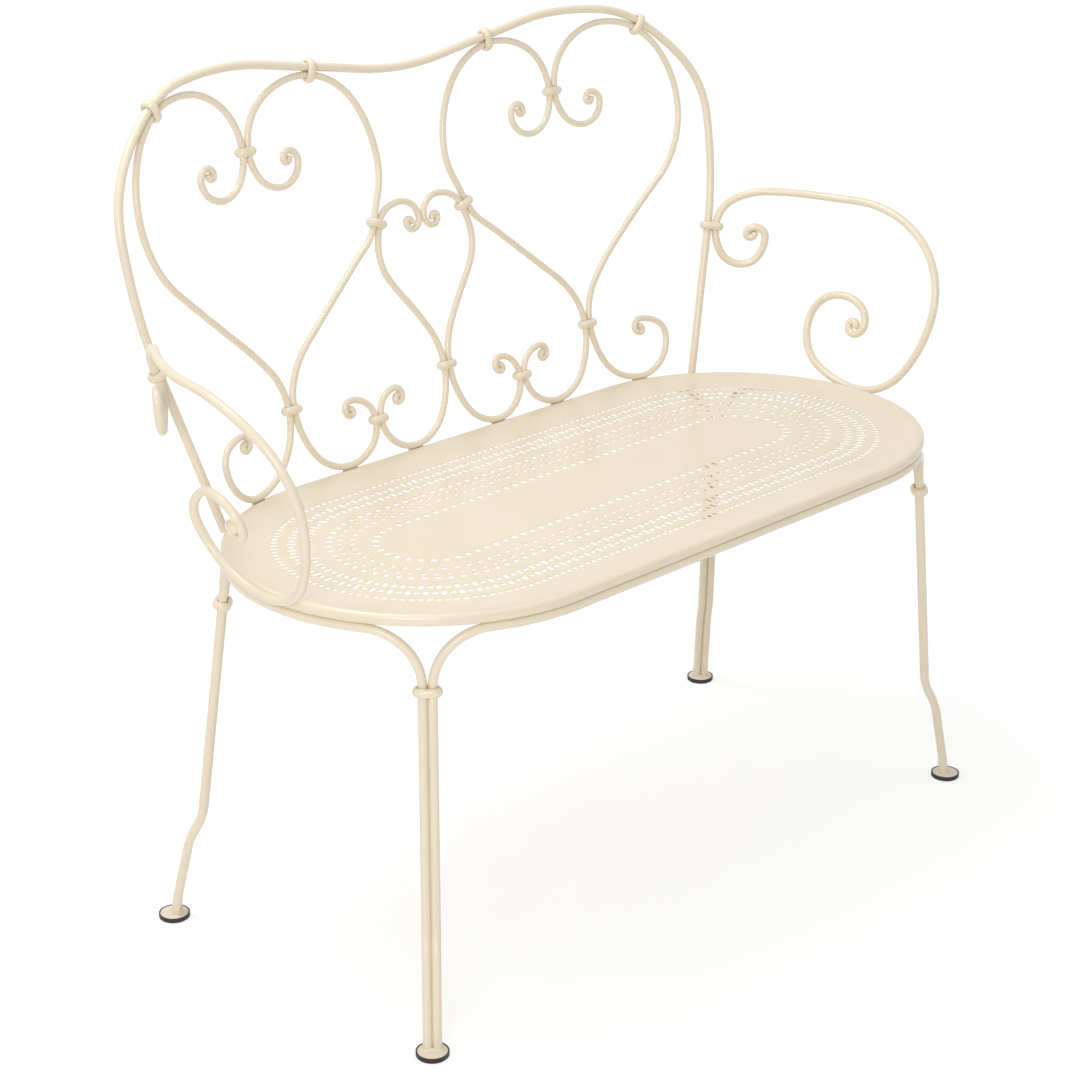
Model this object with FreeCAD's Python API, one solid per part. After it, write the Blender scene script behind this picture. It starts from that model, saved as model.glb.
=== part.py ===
"""Two-seat garden bench of bent steel rod with a perforated sheet seat.

Millimetres, +Z up, floor at Z = 0, +X along the bench, +Y towards its back. The pieces are drawn round
the middle of the seat and moved at the end to the middle of the bench's overall depth.
"""
import FreeCAD
import Part
import math
import os

from FreeCAD import Vector

# Seat pan
seat_height = 448.0          # floor to the crest of the rim
seat_straight = 490.0        # straight length between the two rounded ends
seat_end_radius = 212.0      # outside of the rim
sheet_thickness = 1.0
rim_height = 12.0            # crest to the underside of the hem
crest_radius = 5.0           # outside radius where the sheet turns over
hem_radius = 4.0             # outside radius where the hem turns in
hem_lip = 1.2                # flat end of the hem
margin_run = 41.0            # from the crest in to the flat field
dish_depth = 5.5             # crest down to the flat field

# Perforation: inset from the rim, pitch along the ring, width along it, length across it
ring_pitch_fine = 8.9
ring_pitch_wide = 13.1
perforated_rings = [
    (53.5, ring_pitch_fine, ((5.6, 5.6),)),
    (71.0, ring_pitch_fine, ((5.8, 5.8), (5.0, 10.4))),
    (86.2, ring_pitch_fine, ((5.0, 10.4), (5.8, 5.8))),
    (109.6, ring_pitch_wide, ((5.7, 6.8),)),
    (119.6, ring_pitch_wide, ((4.6, 4.6),)),
    (133.5, ring_pitch_wide, ((5.3, 5.3),)),
    (157.0, ring_pitch_wide, ((5.9, 7.9),)),
]

# Rods and what holds them together
frame_rod = 9.5              # back frame, arms and legs
scroll_rod = 7.5             # hearts
weld_gap = 0.25              # daylight between two pieces that a weld joins
collar_height = 9.2
collar_thickness = 4.5       # at the middle of the dome
collar_edge = 2.0            # at its two edges
collar_clearance = 0.65
scroll_eye_clear = 0.85      # daylight inside the first quarter turn of a scroll, to its axis
arm_eye_clear = 1.0
eye_quarters = 3             # quarter turns of growing radius in a scroll
end_dome = 0.6               # height of a rod's domed end, as a share of its radius

# Back panel, as seen from the front: distance across it, height above the rim
back_stand = 4.0             # scrolls stand this far outside the crest's middle
back_rake = 0.232            # backward travel per unit of height
back_bend_lead = 52.0        # the bend towards the arms starts this far inside the rounded end
back_bend_radius = 580.0
upper_bend_rise = 271.0      # above this the back turns upright again
upper_bend_radius = 1070.0

frame_dip_rise = 408.5
frame_hump_offset = 19.5     # offsets run outwards from the axis of the large heart
frame_hump_rise = 439.5
inner_collar_offset = -99.5
inner_collar_rise = 425.0
inner_collar_heading = 8.5
outer_collar_offset = 132.5
outer_collar_rise = 417.0
outer_collar_heading = -32.0
shoulder_past_end = 196.0    # outwards from where the seat's end starts to round
shoulder_rise = 302.0
upright_angle = 55.5         # foot of the upright, round the seat's end from +X
upright_foot_rise = -9.0

heart_lead = 13.5            # axis of the large heart, inwards from where the seat's end starts to round
notch_rise = 350.0
heart_top_offset = 82.0
heart_top_rise = 421.0
heart_outer_offset = 174.5
heart_outer_rise = 319.0
heart_inner_offset = -181.0
heart_inner_rise = 309.5
heart_bottom_rise = 79.0
outer_flank_heading = -138.5
outer_flank_start = (135.0, 231.5)
outer_flank_end = (58.0, 163.0)
inner_flank_heading = -39.0
inner_flank_start = (-115.5, 204.5)
inner_flank_end = (-38.5, 142.0)
top_bowl_offset = 41.5       # bottom of the top scroll from the heart's axis
top_bowl_rise = 306.5
top_eye_offset = 54.6
top_eye_rise = 334.5
top_growth = 3.5             # radius gained by a scroll in each quarter turn
foot_growth = 2.3

side_collar_offset = -164.7  # where the large heart and the small one are tied together
side_collar_rise = 247.5
side_collar_heading = -68.0
small_heart_top_inset = 37.8  # insets run from that tie towards the middle
small_heart_top_rise = 265.0
small_heart_wide_inset = -4.2
small_heart_wide_rise = 213.0
small_heart_flank = (23.3, 159.0)
small_heart_flank_heading = -129.5
small_eye_rise = 240.5

inner_foot_offset = -67.5    # scrolls standing on the rim
outer_foot_offset = 69.5
inner_eye = (-80.5, 58.9)
outer_eye = (77.4, 59.6)
outer_loop_offset = 113.0
outer_loop_rise = 47.0
pair_collar_offset = -118.3  # where the scrolls under the two hearts are tied together
pair_collar_rise = 42.8
middle_foot_inset = 47.7     # scroll under the small heart, from that tie towards the middle
middle_eye = (32.6, 58.9)

# Arms, on a flared wall round the seat's end: distance along that wall from +X, height above the rim
arm_flare = 50.0
arm_flare_height = 174.0
arm_unroll_offset = 28.0     # distances along the wall are measured this far outside the seat
arm_collar_past_end = 177.0
arm_collar_rise = 169.0
arm_foot_along = -4.0
arm_foot_rise = -4.0
arm_top_front = (40.0, 211.5)
arm_top_heading = 179.0
arm_front = (-85.0, 100.0)
arm_scroll_back = (85.0, 53.0)
arm_scroll_top = (42.0, 98.5)
arm_scroll_eye = (21.0, 66.4)
arm_scroll_growth = 3.4
arm_scroll_lean = 12.0       # the front scroll lies this far inside the wall that the arm follows
arm_top_back = (56.5, 213.0)  # this and the rear scroll are measured forwards from the tie to the upright
arm_rear_bowl = (29.0, 122.0)
arm_rear_eye = (39.9, 159.4)
arm_rear_growth = 3.0

# Legs: pairs of rods that bend down from the ring under the rim
front_leg_angle = 45.8       # round the seat's end from +X
back_leg_angle = 47.6
leg_bend = 57.0              # from the ring down to where the two rods meet
front_splay = 0.082
back_splay = 0.132
joggle_top = 134.0
joggle_bottom = 84.0
joggle_out = 13.0
shin_splay = 0.10            # added to the splay below the joggle
ankle_height = 28.0          # below this the rods turn upright to stand on their disc
leg_collar_drop = 61.0       # below the ring

# Feet
glide_radius = 16.8
glide_height = 5.5
glide_floor = 2.6
disc_radius = 15.2
disc_clearance = 0.2
disc_outward = 3.0           # disc's middle outside the legs' ends
glide_chamfer = 1.0

# Worked out from the values above
half_straight = seat_straight / 2.0
heart_x = half_straight - heart_lead
inner_collar_x = heart_x + inner_collar_offset
outer_collar_x = heart_x + outer_collar_offset
side_collar_x = heart_x + side_collar_offset
pair_collar_x = heart_x + pair_collar_offset
scroll_eye = scroll_rod / 2.0 + scroll_eye_clear
arm_eye = frame_rod / 2.0 + arm_eye_clear
arm_unroll_radius = seat_end_radius + arm_unroll_offset
crest_offset = seat_end_radius - crest_radius
field_offset = crest_offset - margin_run
field_height = seat_height - dish_depth
hem_underside = seat_height - rim_height
ring_radius = seat_end_radius - frame_rod / 2.0
ring_height = hem_underside - weld_gap - frame_rod / 2.0
scroll_pair = (scroll_rod + weld_gap) / 2.0
frame_pair = (frame_rod + weld_gap) / 2.0
frame_to_scroll = (frame_rod + scroll_rod) / 2.0 + weld_gap
beside_rim = seat_end_radius + frame_rod / 2.0 + weld_gap
leg_end = glide_height + weld_gap
UP = Vector(0, 0, 1)


def unit(vector):
    """The same direction with length one."""
    return vector * (1.0 / vector.Length)


def heading_vector(degrees):
    """Direction across and up a flat drawing."""
    return math.cos(math.radians(degrees)), math.sin(math.radians(degrees))


# Surfaces that the rods lie on

def back_point(x, rise):
    """Point of the back panel at distance x from the middle and a height above the rim."""
    side = max(abs(x) - (half_straight - back_bend_lead), 0.0)
    upper = max(rise - upper_bend_rise, 0.0)
    y = crest_offset + back_stand + back_rake * (rise - scroll_rod / 2.0)
    y -= side * side / (2.0 * back_bend_radius) + upper * upper / (2.0 * upper_bend_radius)
    return Vector(x, y, seat_height + rise)


def back_knot(x, rise, heading):
    """Point and direction of a rod on the back panel."""
    step = 0.01
    across, up = heading_vector(heading)
    here = back_point(x, rise)
    there = back_point(x + across * step, rise + up * step)
    return here, unit(there - here)


def heart_knot(offset, rise, heading):
    """The same, with the point given outwards from the axis of the large heart."""
    return back_knot(heart_x + offset, rise, heading)


def rim_knot(x, heading):
    """A scroll standing on the crest of the rim at distance x from the middle."""
    past = max(abs(x) - half_straight, 0.0)
    y = math.sqrt((crest_offset + back_stand) ** 2 - past ** 2)
    slope = -math.copysign(past, x) / y
    across, up = heading_vector(heading)
    reach = crest_radius + scroll_rod / 2.0 + weld_gap
    z = seat_height - crest_radius + math.sqrt(reach ** 2 - back_stand ** 2)
    return Vector(x, y, z), unit(Vector(across, across * slope, up))


def side_point(along, rise, lean=0.0):
    """Point of the flared wall round the right end of the seat, or inside it by lean."""
    share = min(max((rise - arm_foot_rise) / arm_flare_height, 0.0), 1.0)
    radius = beside_rim + arm_flare * (1.0 - (1.0 - share) ** 2) - lean
    angle = along / arm_unroll_radius
    x = half_straight + radius * math.cos(angle)
    return Vector(x, radius * math.sin(angle), seat_height + rise)


def side_knot(along, rise, heading, lean=0.0):
    """Point and direction of an arm rod on the flared wall."""
    step = 0.01
    across, up = heading_vector(heading)
    here = side_point(along, rise, lean)
    there = side_point(along + across * step, rise + up * step, lean)
    return here, unit(there - here)


def scroll_knot(along, rise, heading):
    """Point and direction of the arm's front scroll, inside the flared wall."""
    return side_knot(along, rise, heading, arm_scroll_lean)


def eye_knots(surface_knot, eye, radius, growth, angle, turn):
    """Knots of a scroll from its inner end outwards: three quarter turns of growing radius.

    It starts at an angle round its eye; turn is 1 where it runs anticlockwise and -1 where clockwise.
    """
    centre_x, centre_rise = eye
    across, up = heading_vector(angle)
    knots = [surface_knot(centre_x + radius * across, centre_rise + radius * up, angle + turn * 90.0)]
    for quarter in range(eye_quarters):
        angle += turn * 90.0
        across, up = heading_vector(angle)
        x = centre_x + radius * across
        rise = centre_rise + radius * up
        knots.append(surface_knot(x, rise, angle + turn * 90.0))
        radius += growth
        centre_x = x - radius * across
        centre_rise = rise - radius * up
    return knots


def reverse(knots):
    """The same rod run from its other end."""
    return [(point, direction * -1.0) for point, direction in reversed(knots)]


def mirror(knots):
    """The matching rod on the left half of the bench."""
    return [(Vector(-p.x, p.y, p.z), Vector(-d.x, d.y, d.z)) for p, d in knots]


# Rods made of tangent arcs

def arc_joint(start, start_way, end, end_way):
    """Point where the two tangent arcs between two knots meet."""
    chord = end - start
    ways = start_way + end_way
    spread = 2.0 * (1.0 - start_way.dot(end_way))
    if spread < 1e-9:
        reach = chord.dot(chord) / (4.0 * chord.dot(end_way))
    else:
        along = chord.dot(ways)
        reach = (math.sqrt(along * along + spread * chord.dot(chord)) - along) / spread
    return (start + start_way * reach + end - end_way * reach) * 0.5


def bend_rod(knots, diameter, domed=False):
    """A round rod through the knots, as cylinders and torus bends, with flat or domed ends."""
    point, way = knots[0]
    side = unit(way.cross(UP if abs(way.z) < 0.9 else Vector(1, 0, 0)))

    def section():
        ring = Part.makeCircle(diameter / 2.0)
        ring.Placement = FreeCAD.Placement(point, FreeCAD.Rotation(side, way.cross(side), way))
        return ring

    def end(outward):
        if not domed:
            return Part.Face(Part.Wire(section()))
        radius = diameter / 2.0
        height = end_dome * radius
        ball = (radius * radius + height * height) / (2.0 * height)
        half = math.asin(radius / ball) / 2.0
        centre = point + outward * (height - ball)
        middle = centre + side * (ball * math.sin(half)) + outward * (ball * math.cos(half))
        profile = Part.Arc(point + side * radius, middle, point + outward * height)
        return profile.toShape().revolve(point, outward, 360)

    faces = [end(way * -1.0)]
    for start, stop in zip(knots, knots[1:]):
        joint = arc_joint(start[0], start[1], stop[0], stop[1])
        for target in (joint, stop[0]):
            chord = target - point
            axis = way.cross(chord)
            if axis.Length < 1e-7 * chord.Length:
                faces.append(section().extrude(way * chord.Length))
                point = point + way * chord.Length
                continue
            axis = unit(axis)
            inward = axis.cross(way)
            radius = chord.dot(chord) / (2.0 * chord.dot(inward))
            centre = point + inward * radius
            angle = 2.0 * math.degrees(math.atan2(chord.dot(inward), chord.dot(way)))
            faces.append(section().revolve(centre, axis, angle))
            turn = FreeCAD.Rotation(axis, angle)
            way = unit(turn.multVec(way))
            side = unit(turn.multVec(side))
            point = target
    faces.append(end(way))
    skin = Part.makeCompound(faces)
    skin.sewShape()
    rod = Part.Solid(skin.Shells[0])
    if rod.Volume < 0:
        rod.reverse()
    return rod


def collar(first, first_rod, second, second_rod, way):
    """Domed band forged round two rods that lie side by side along way."""
    across = second - first
    across = across - way * across.dot(way)
    spacing = across.Length
    first_inside = first_rod / 2.0 + collar_clearance
    second_inside = second_rod / 2.0 + collar_clearance
    half = collar_height / 2.0
    wrap = math.acos((first_inside - second_inside) / spacing)

    def band(inside):
        corners = [Vector(inside, 0, -half), Vector(inside, 0, half), Vector(inside + collar_edge, 0, half)]
        low = Vector(inside + collar_edge, 0, -half)
        dome = Part.Arc(corners[2], Vector(inside + collar_thickness, 0, 0), low)
        sides = [Part.makeLine(corners[0], corners[1]), Part.makeLine(corners[1], corners[2])]
        return Part.Face(Part.Wire(sides + [dome.toShape(), Part.makeLine(low, corners[0])]))

    origin = Vector(0, 0, 0)
    far = Vector(spacing, 0, 0)
    wrap_degrees = math.degrees(wrap)
    start = band(first_inside)
    start.rotate(origin, UP, wrap_degrees)
    end = band(second_inside)
    end.rotate(origin, UP, -wrap_degrees)
    end.translate(far)
    narrowing = second_inside - first_inside
    run = Vector(spacing + narrowing * math.cos(wrap), narrowing * math.sin(wrap), 0)
    back_run = band(first_inside)
    back_run.rotate(origin, UP, -wrap_degrees)
    sides = [
        start.revolve(origin, UP, 360.0 - 2.0 * wrap_degrees),
        end.revolve(far, UP, 2.0 * wrap_degrees),
        start.extrude(run),
        back_run.extrude(Vector(run.x, -run.y, 0)),
    ]
    whole = sides[0].multiFuse(sides[1:]).removeSplitter()
    x_way = unit(across)
    middle = first + way * (second - first).dot(way) * 0.5
    whole.Placement = FreeCAD.Placement(middle, FreeCAD.Rotation(x_way, way.cross(x_way), way))
    return whole.Solids[0]


# Seat pan

def ring_place(radius, distance):
    """Place and outward angle at a distance round a ring, from the middle of the back."""
    bend = math.pi * radius
    perimeter = 2.0 * (seat_straight + bend)
    distance = distance % perimeter
    if distance < half_straight:
        return Vector(distance, radius, 0), math.pi / 2.0
    distance -= half_straight
    if distance < bend:
        angle = math.pi / 2.0 - distance / radius
        return Vector(half_straight + radius * math.cos(angle), radius * math.sin(angle), 0), angle
    distance -= bend
    if distance < seat_straight:
        return Vector(half_straight - distance, -radius, 0), -math.pi / 2.0
    distance -= seat_straight
    if distance < bend:
        angle = -math.pi / 2.0 - distance / radius
        return Vector(-half_straight + radius * math.cos(angle), radius * math.sin(angle), 0), angle
    distance -= bend
    return Vector(distance - half_straight, radius, 0), math.pi / 2.0


def perforations(radius, pitch, shapes):
    """Outlines of the square and oblong holes of one ring."""
    perimeter = 2.0 * (seat_straight + math.pi * radius)
    count = len(shapes) * round(perimeter / (pitch * len(shapes)))
    holes = []
    for index in range(count):
        place, angle = ring_place(radius, perimeter * index / count)
        width, length = shapes[index % len(shapes)]
        out = Vector(math.cos(angle), math.sin(angle), 0) * (length / 2.0)
        along = Vector(-math.sin(angle), math.cos(angle), 0) * (width / 2.0)
        corners = [place + out + along, place + out - along, place - out - along, place - out + along]
        holes.append(Part.makePolygon(corners + corners[:1]))
    return holes


def stadium(radius):
    """Outline with two straight sides and round ends, at a distance from the seat's middle line."""
    right = Part.Arc(Vector(half_straight, -radius, 0), Vector(half_straight + radius, 0, 0),
                     Vector(half_straight, radius, 0))
    left = Part.Arc(Vector(-half_straight, radius, 0), Vector(-half_straight - radius, 0, 0),
                    Vector(-half_straight, -radius, 0))
    front = Part.makeLine(Vector(-half_straight, -radius, 0), Vector(half_straight, -radius, 0))
    back = Part.makeLine(Vector(half_straight, radius, 0), Vector(-half_straight, radius, 0))
    return Part.Wire([front, right.toShape(), back, left.toShape()])


def rim_section():
    """Edges of the dished margin, the crest and the turned-in hem in section, drawn outwards along +Y."""
    lean = 2.0 * math.atan(dish_depth / margin_run)
    sweep = margin_run / math.sin(lean) - crest_radius
    crest_centre = seat_height - crest_radius
    hem_centre = hem_underside + hem_radius
    hem_offset = seat_end_radius - hem_radius
    lip = hem_offset - hem_lip

    def skin(depth):
        """The sheet's face at a depth below its outside."""
        dish = sweep + depth
        crest = crest_radius - depth
        hem = hem_radius - depth
        half_lean = lean / 2.0
        dish_start = Vector(0, field_offset, field_height - depth)
        dish_middle = Vector(0, field_offset + dish * math.sin(half_lean),
                             field_height + sweep - dish * math.cos(half_lean))
        dish_end = Vector(0, field_offset + dish * math.sin(lean),
                          field_height + sweep - dish * math.cos(lean))
        over = (math.pi / 2.0 + lean) / 2.0
        crest_middle = Vector(0, crest_offset + crest * math.cos(over),
                              crest_centre + crest * math.sin(over))
        crest_end = Vector(0, crest_offset + crest, crest_centre)
        wall_end = Vector(0, hem_offset + hem, hem_centre)
        corner = math.sqrt(0.5) * hem
        hem_middle = Vector(0, hem_offset + corner, hem_centre - corner)
        hem_end = Vector(0, hem_offset, hem_centre - hem)
        lip_end = Vector(0, lip, hem_centre - hem)
        edges = [
            Part.Arc(dish_start, dish_middle, dish_end).toShape(),
            Part.Arc(dish_end, crest_middle, crest_end).toShape(),
            Part.makeLine(crest_end, wall_end),
            Part.Arc(wall_end, hem_middle, hem_end).toShape(),
            Part.makeLine(hem_end, lip_end),
        ]
        return edges, lip_end

    outer, outer_lip = skin(0.0)
    inner, inner_lip = skin(sheet_thickness)
    return outer + [Part.makeLine(outer_lip, inner_lip)] + inner


def field_faces():
    """Top, underside and hole walls of the flat field, in one band for each ring of holes."""
    radii = [seat_end_radius - ring[0] for ring in perforated_rings]
    limits = [field_offset] + [(a + b) / 2.0 for a, b in zip(radii, radii[1:])] + [0.0]
    faces = []
    for radius, ring, outer, inner in zip(radii, perforated_rings, limits, limits[1:]):
        outlines = [stadium(outer)] + perforations(radius, ring[1], ring[2])
        if inner > 0.0:
            outlines.append(stadium(inner).reversed())
        band = Part.Face(outlines)
        band.translate(Vector(0, 0, field_height - sheet_thickness))
        for face in band.extrude(Vector(0, 0, sheet_thickness)).Faces:
            corner = face.Vertexes[0].Point
            offset = math.hypot(max(abs(corner.x) - half_straight, 0.0), corner.y)
            on_limit = min(abs(offset - outer), abs(offset - inner)) < 1e-3
            if face.BoundBox.ZLength < sheet_thickness / 2.0 or not on_limit:
                faces.append(face)
    return faces


def rim_faces():
    """Margin, crest and hem all round: straight along the sides and turned round the ends."""
    faces = []
    for edge in rim_section():
        edge.translate(Vector(half_straight, 0, 0))
        right = edge.revolve(Vector(half_straight, 0, 0), UP, -180)
        back = edge.extrude(Vector(-seat_straight, 0, 0))
        for side in (back, right):
            opposite = side.copy()
            opposite.rotate(Vector(0, 0, 0), UP, 180)
            faces += [side, opposite]
    return faces


def seat_panel():
    """Perforated field and pressed rim in one sheet."""
    sheet = Part.makeCompound(field_faces() + rim_faces())
    sheet.sewShape()
    pan = Part.Solid(sheet.Shells[0])
    if pan.Volume < 0:
        pan.reverse()
    return pan


# Back

def frame_knots():
    """Right half of the back frame, from the middle of its top to the foot of the upright."""
    foot_angle = math.radians(upright_angle)
    foot = Vector(half_straight + beside_rim * math.cos(foot_angle), beside_rim * math.sin(foot_angle),
                  seat_height + upright_foot_rise)
    waist = back_point(half_straight + arm_collar_past_end, arm_collar_rise)
    down = unit(foot - waist)
    return [
        back_knot(0, frame_dip_rise, 0),
        back_knot(inner_collar_x, inner_collar_rise, inner_collar_heading),
        heart_knot(frame_hump_offset, frame_hump_rise, 0),
        back_knot(outer_collar_x, outer_collar_rise, outer_collar_heading),
        back_knot(half_straight + shoulder_past_end, shoulder_rise, -90),
        (waist, down),
        (foot, down),
    ]


def under_frame(x, rise, heading):
    """Place of a scroll that is tied under the frame."""
    across, up = heading_vector(heading)
    return x + up * frame_to_scroll, rise - across * frame_to_scroll


def tied_place(x, rise, heading, sign):
    """Place of one of two scrolls tied side by side; sign is 1 on the right of the heading."""
    across, up = heading_vector(heading)
    return x + sign * up * scroll_pair, rise - sign * across * scroll_pair


def heart_outer_knots():
    """Outer rod of the right-hand heart, from its top scroll to its foot scroll."""
    under_x, under_rise = under_frame(outer_collar_x, outer_collar_rise, outer_collar_heading)
    knots = eye_knots(heart_knot, (top_eye_offset, top_eye_rise), scroll_eye, top_growth, 270, -1)
    knots += [
        heart_knot(top_bowl_offset, top_bowl_rise, 180),
        heart_knot(scroll_pair, notch_rise, 90),
        heart_knot(heart_top_offset, heart_top_rise, 0),
        back_knot(under_x, under_rise, outer_collar_heading),
        heart_knot(heart_outer_offset, heart_outer_rise, -90),
        heart_knot(outer_flank_start[0], outer_flank_start[1], outer_flank_heading),
        heart_knot(outer_flank_end[0], outer_flank_end[1], outer_flank_heading),
        heart_knot(scroll_pair, heart_bottom_rise, -90),
        rim_knot(heart_x + outer_foot_offset, 0),
        heart_knot(outer_loop_offset, outer_loop_rise, 90),
    ]
    return knots + reverse(eye_knots(heart_knot, outer_eye, scroll_eye, foot_growth, 0, -1))


def heart_inner_knots():
    """Inner rod of the right-hand heart, from its top scroll to its foot scroll."""
    under_x, under_rise = under_frame(inner_collar_x, inner_collar_rise, inner_collar_heading)
    tied_x, tied_rise = tied_place(side_collar_x, side_collar_rise, side_collar_heading, -1)
    knots = eye_knots(heart_knot, (-top_eye_offset, top_eye_rise), scroll_eye, top_growth, 270, 1)
    knots += [
        heart_knot(-top_bowl_offset, top_bowl_rise, 0),
        heart_knot(-scroll_pair, notch_rise, 90),
        back_knot(under_x, under_rise, inner_collar_heading + 180),
        heart_knot(heart_inner_offset, heart_inner_rise, -90),
        back_knot(tied_x, tied_rise, side_collar_heading),
        heart_knot(inner_flank_start[0], inner_flank_start[1], inner_flank_heading),
        heart_knot(inner_flank_end[0], inner_flank_end[1], inner_flank_heading),
        heart_knot(-scroll_pair, heart_bottom_rise, -90),
        rim_knot(heart_x + inner_foot_offset, 180),
        back_knot(pair_collar_x + scroll_pair, pair_collar_rise, 90),
    ]
    return knots + reverse(eye_knots(heart_knot, inner_eye, scroll_eye, foot_growth, 180, 1))


def small_heart_knots():
    """Right rod of the small heart, from its top scroll to its foot scroll."""
    tied_x, tied_rise = tied_place(side_collar_x, side_collar_rise, side_collar_heading, 1)
    flank_inset, flank_rise = small_heart_flank
    top_eye = (scroll_pair + scroll_eye + eye_quarters * top_growth, small_eye_rise)
    foot_eye = (pair_collar_x - middle_eye[0], middle_eye[1])
    knots = eye_knots(back_knot, top_eye, scroll_eye, top_growth, 90, -1)
    knots += [
        back_knot(side_collar_x - small_heart_top_inset, small_heart_top_rise, 0),
        back_knot(tied_x, tied_rise, side_collar_heading),
        back_knot(side_collar_x - small_heart_wide_inset, small_heart_wide_rise, -90),
        back_knot(side_collar_x - flank_inset, flank_rise, small_heart_flank_heading),
        back_knot(scroll_pair, heart_bottom_rise, -90),
        rim_knot(pair_collar_x - middle_foot_inset, 0),
        back_knot(pair_collar_x - scroll_pair, pair_collar_rise, 90),
    ]
    return knots + reverse(eye_knots(back_knot, foot_eye, scroll_eye, foot_growth, 0, -1))


def back_collars():
    """Collars of the right half and the middle of the back, by name."""
    inner_under = under_frame(inner_collar_x, inner_collar_rise, inner_collar_heading)
    outer_under = under_frame(outer_collar_x, outer_collar_rise, outer_collar_heading)
    made = {
        "collar_top_inner": (inner_under, scroll_rod, (inner_collar_x, inner_collar_rise), frame_rod,
                             inner_collar_heading),
        "collar_top_outer": (outer_under, scroll_rod, (outer_collar_x, outer_collar_rise), frame_rod,
                             outer_collar_heading),
    }
    ties = {
        "collar_notch": (heart_x, notch_rise, 90),
        "collar_heart_foot": (heart_x, heart_bottom_rise, 90),
        "collar_side": (side_collar_x, side_collar_rise, side_collar_heading),
        "collar_pair": (pair_collar_x, pair_collar_rise, 90),
        "collar_middle": (0.0, heart_bottom_rise, 90),
    }
    for name, (x, rise, heading) in ties.items():
        left = tied_place(x, rise, heading, -1)
        right = tied_place(x, rise, heading, 1)
        made[name] = (left, scroll_rod, right, scroll_rod, heading)
    collars = {}
    for name, (first, first_rod, second, second_rod, heading) in made.items():
        first_point, way = back_knot(first[0], first[1], heading)
        second_point = back_point(second[0], second[1])
        collars[name] = collar(first_point, first_rod, second_point, second_rod, way)
    return collars


# Arms

def arm_waist():
    """The upright's centre, the arm's centre and their shared direction where the collar ties them."""
    upright, down = frame_knots()[-2]
    angle = math.atan2(upright.y, upright.x - half_straight)
    forward = Vector(math.sin(angle), -math.cos(angle), 0)
    forward = unit(forward - down * forward.dot(down))
    return upright, upright + forward * (frame_rod + weld_gap), down * -1.0


def arm_knots():
    """Right arm, from its rear scroll over the top to its front scroll."""
    upright, tie, way = arm_waist()
    tie_along = arm_unroll_radius * math.atan2(tie.y, tie.x - half_straight)
    rear_eye = (tie_along - arm_rear_eye[0], arm_rear_eye[1])
    rear = eye_knots(side_knot, rear_eye, arm_eye, arm_rear_growth, 270, 1)
    front = reverse(eye_knots(scroll_knot, arm_scroll_eye, arm_eye, arm_scroll_growth, 90, -1))
    return rear + [
        side_knot(tie_along - arm_rear_bowl[0], arm_rear_bowl[1], 0),
        (tie, way),
        side_knot(tie_along - arm_top_back[0], arm_top_back[1], arm_top_heading),
        side_knot(arm_top_front[0], arm_top_front[1], arm_top_heading),
        side_knot(arm_front[0], arm_front[1], -90),
        side_knot(arm_foot_along, arm_foot_rise, 0),
        side_knot(arm_scroll_back[0], arm_scroll_back[1], 90),
        scroll_knot(arm_scroll_top[0], arm_scroll_top[1], 180),
    ] + front


# Legs

def leg_point(angle, offset, radius, z):
    """Point of a leg on the right end: offset lies along the rim, radius out from the end's centre."""
    out = Vector(math.cos(angle), math.sin(angle), 0)
    along = Vector(-math.sin(angle), math.cos(angle), 0)
    return Vector(half_straight, 0, z) + out * radius + along * offset


def leg_reach(splay, z):
    """Distance of a leg above its joggle from the centre of the seat's end."""
    return ring_radius + splay * (ring_height - z)


def shin_reach(splay, z):
    """Distance of a leg below its joggle from the centre of the seat's end."""
    knee = leg_reach(splay, joggle_bottom) + joggle_out
    return knee + (splay + shin_splay) * (joggle_bottom - z)


def foot_reach(splay):
    """Distance of a foot from the centre of the seat's end."""
    lean = math.atan(splay + shin_splay)
    return shin_reach(splay, ankle_height) + (ankle_height - leg_end) * math.tan(lean / 2.0)


def leg_knots(angle, side, splay):
    """One rod of a right-hand leg, from the ring down; side is 1 where it lies at the larger angle."""
    offset = side * frame_pair
    start = angle + side * (leg_bend + frame_pair) / ring_radius
    along_ring = Vector(math.sin(start), -math.cos(start), 0) * side
    out = Vector(math.cos(angle), math.sin(angle), 0)
    down = unit(out * splay - UP)
    shin = unit(out * (splay + shin_splay) - UP)
    meet = ring_height - leg_bend
    return [
        (leg_point(start, 0.0, ring_radius, ring_height), along_ring),
        (leg_point(angle, offset, leg_reach(splay, meet), meet), down),
        (leg_point(angle, offset, leg_reach(splay, joggle_top), joggle_top), down),
        (leg_point(angle, offset, shin_reach(splay, joggle_bottom), joggle_bottom), shin),
        (leg_point(angle, offset, shin_reach(splay, ankle_height), ankle_height), shin),
        (leg_point(angle, offset, foot_reach(splay), leg_end), UP * -1.0),
    ]


def side_rail():
    """Right-hand rail: two leg rods and the ring between them in one bent rod."""
    front = leg_knots(math.radians(-front_leg_angle), 1, front_splay)
    back = leg_knots(math.radians(back_leg_angle), -1, back_splay)
    middle = (Vector(half_straight + ring_radius, 0, ring_height), Vector(0, 1, 0))
    return bend_rod(reverse(front) + [middle] + back, frame_rod)


def long_rail(angle, splay):
    """Front or back rail, from its left foot to its right foot."""
    sign = math.copysign(1.0, angle)
    leg = leg_knots(math.radians(angle), sign, splay)
    corner = (Vector(half_straight, sign * ring_radius, ring_height), Vector(1, 0, 0))
    half = [corner] + leg
    return bend_rod(reverse(mirror(half)) + half, frame_rod)


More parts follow.
